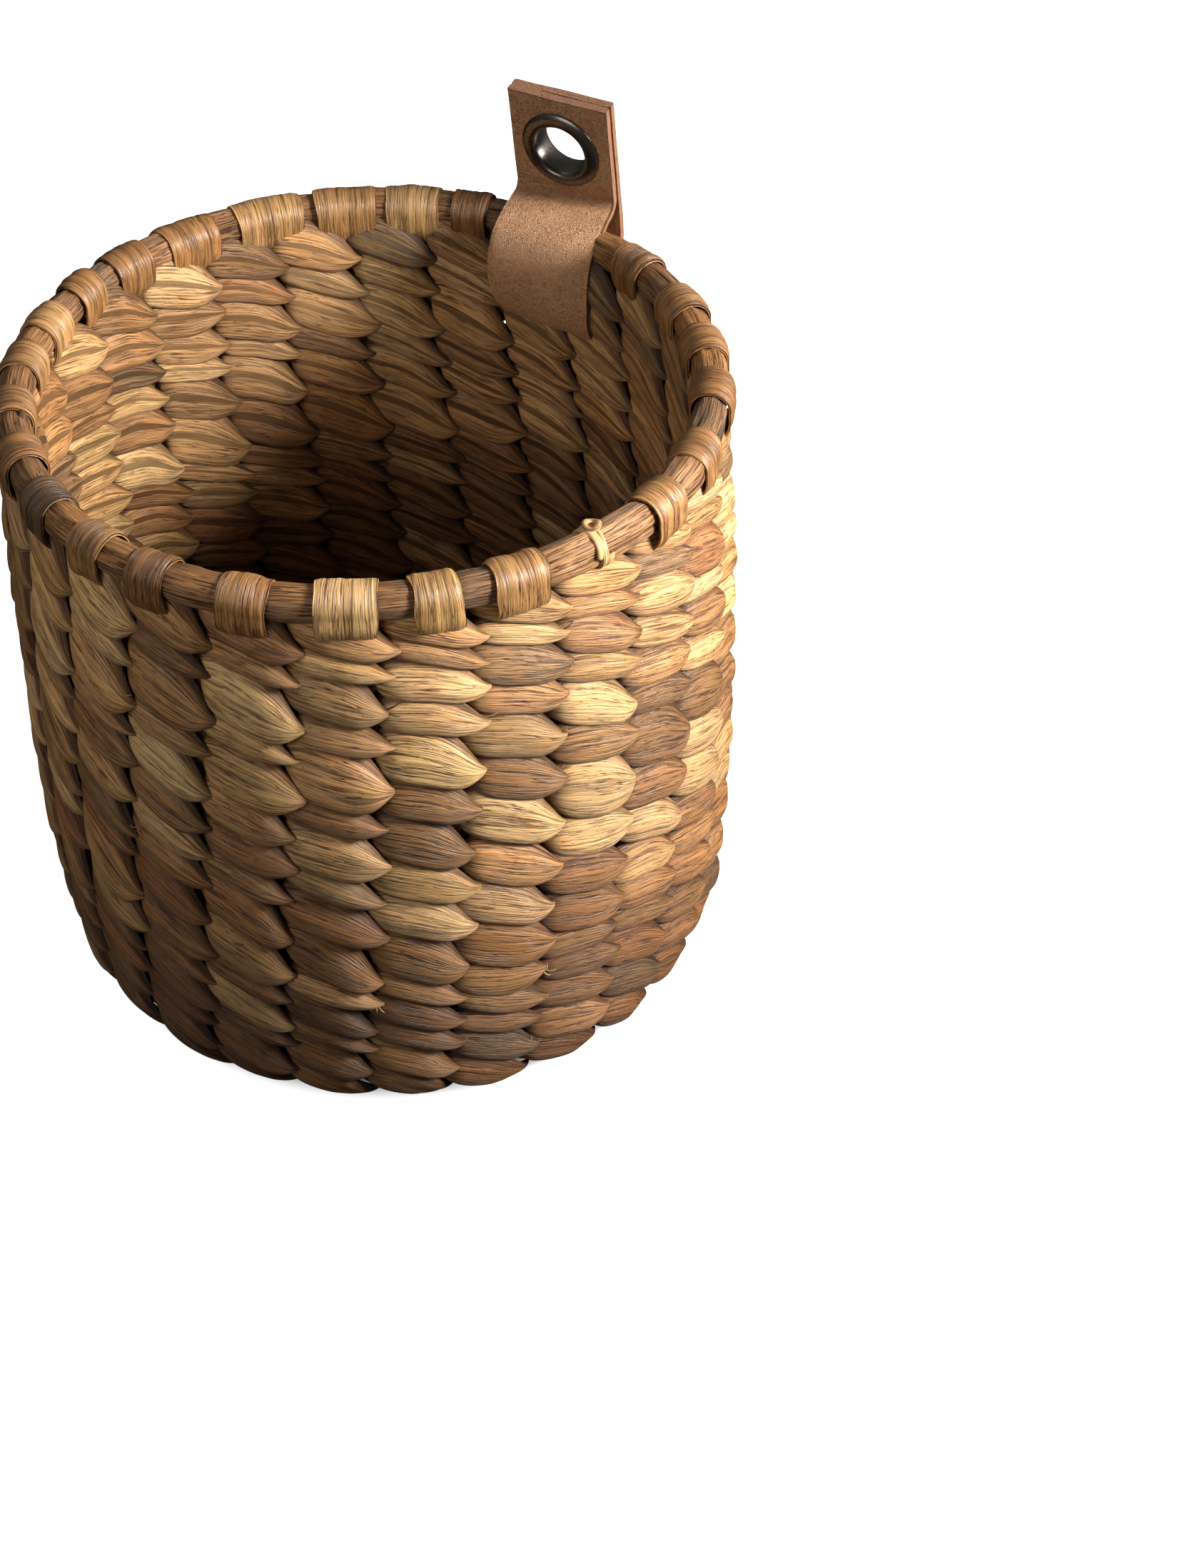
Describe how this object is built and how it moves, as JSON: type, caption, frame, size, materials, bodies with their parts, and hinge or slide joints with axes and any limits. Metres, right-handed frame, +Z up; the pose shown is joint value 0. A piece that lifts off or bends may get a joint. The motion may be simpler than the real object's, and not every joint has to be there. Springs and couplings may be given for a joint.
{
  "type": "woven basket with hanging strap",
  "caption": "Round basket twined from water hyacinth stems over upright spokes, with a lashed rim, a leather hanging strap and a metal eyelet.",
  "frame": {"origin": "middle of the basket's underside, on the surface it stands on", "axes": "+Z up; +Y from the middle of the basket towards the leather strap, so -Y is the free side; +X completes the right-handed frame"},
  "size_m": [0.257, 0.2609, 0.2887],
  "materials": {
    "stem": "dried plant stem, satin",
    "weft": "dried water hyacinth strand, flattened and twisted, satin, streaked",
    "rim_bundle": "bundle of dried stems, satin, streaked along its length",
    "leather": "tan leather, fine pebble grain, raw edges",
    "eyelet_metal": "dark antique finish, glossy"
  },
  "bodies": {
    "basket": {"stake_01": "stem", "stake_02": "stem", "stake_03": "stem", "stake_04": "stem", "stake_05": "stem", "stake_06": "stem", "stake_07": "stem", "stake_08": "stem", "stake_09": "stem", "stake_10": "stem", "stake_11": "stem", "stake_12": "stem", "stake_13": "stem", "base_round_1": "weft", "base_round_2": "weft", "base_round_3": "weft", "base_round_4": "weft", "base_round_5": "weft", "base_round_6": "weft", "weave_row_01": "weft", "weave_row_02": "weft", "weave_row_03": "weft", "weave_row_04": "weft", "weave_row_05": "weft", "weave_row_06": "weft", "weave_row_07": "weft", "weave_row_08": "weft", "weave_row_09": "weft", "weave_row_10": "weft", "weave_row_11": "weft", "weave_row_12": "weft", "weave_row_13": "weft", "weave_row_14": "weft", "weave_row_15": "weft", "rim_core": "rim_bundle", "strap_loop": "leather"},
    "hanger_tab": {"strap_tab_inner": "leather", "strap_tab_outer": "leather", "eyelet": "eyelet_metal", "eyelet_washer": "eyelet_metal"}
  },
  "joints": [
    {"name": "hanger_tab_swing", "type": "hinge", "parent": "basket", "child": "hanger_tab", "pos_m": [0, 0.12, 0.233], "axis": [1, 0, 0], "range_deg": [-45, 60], "stiffness_Nm_per_rad": 0.05}
  ]
}
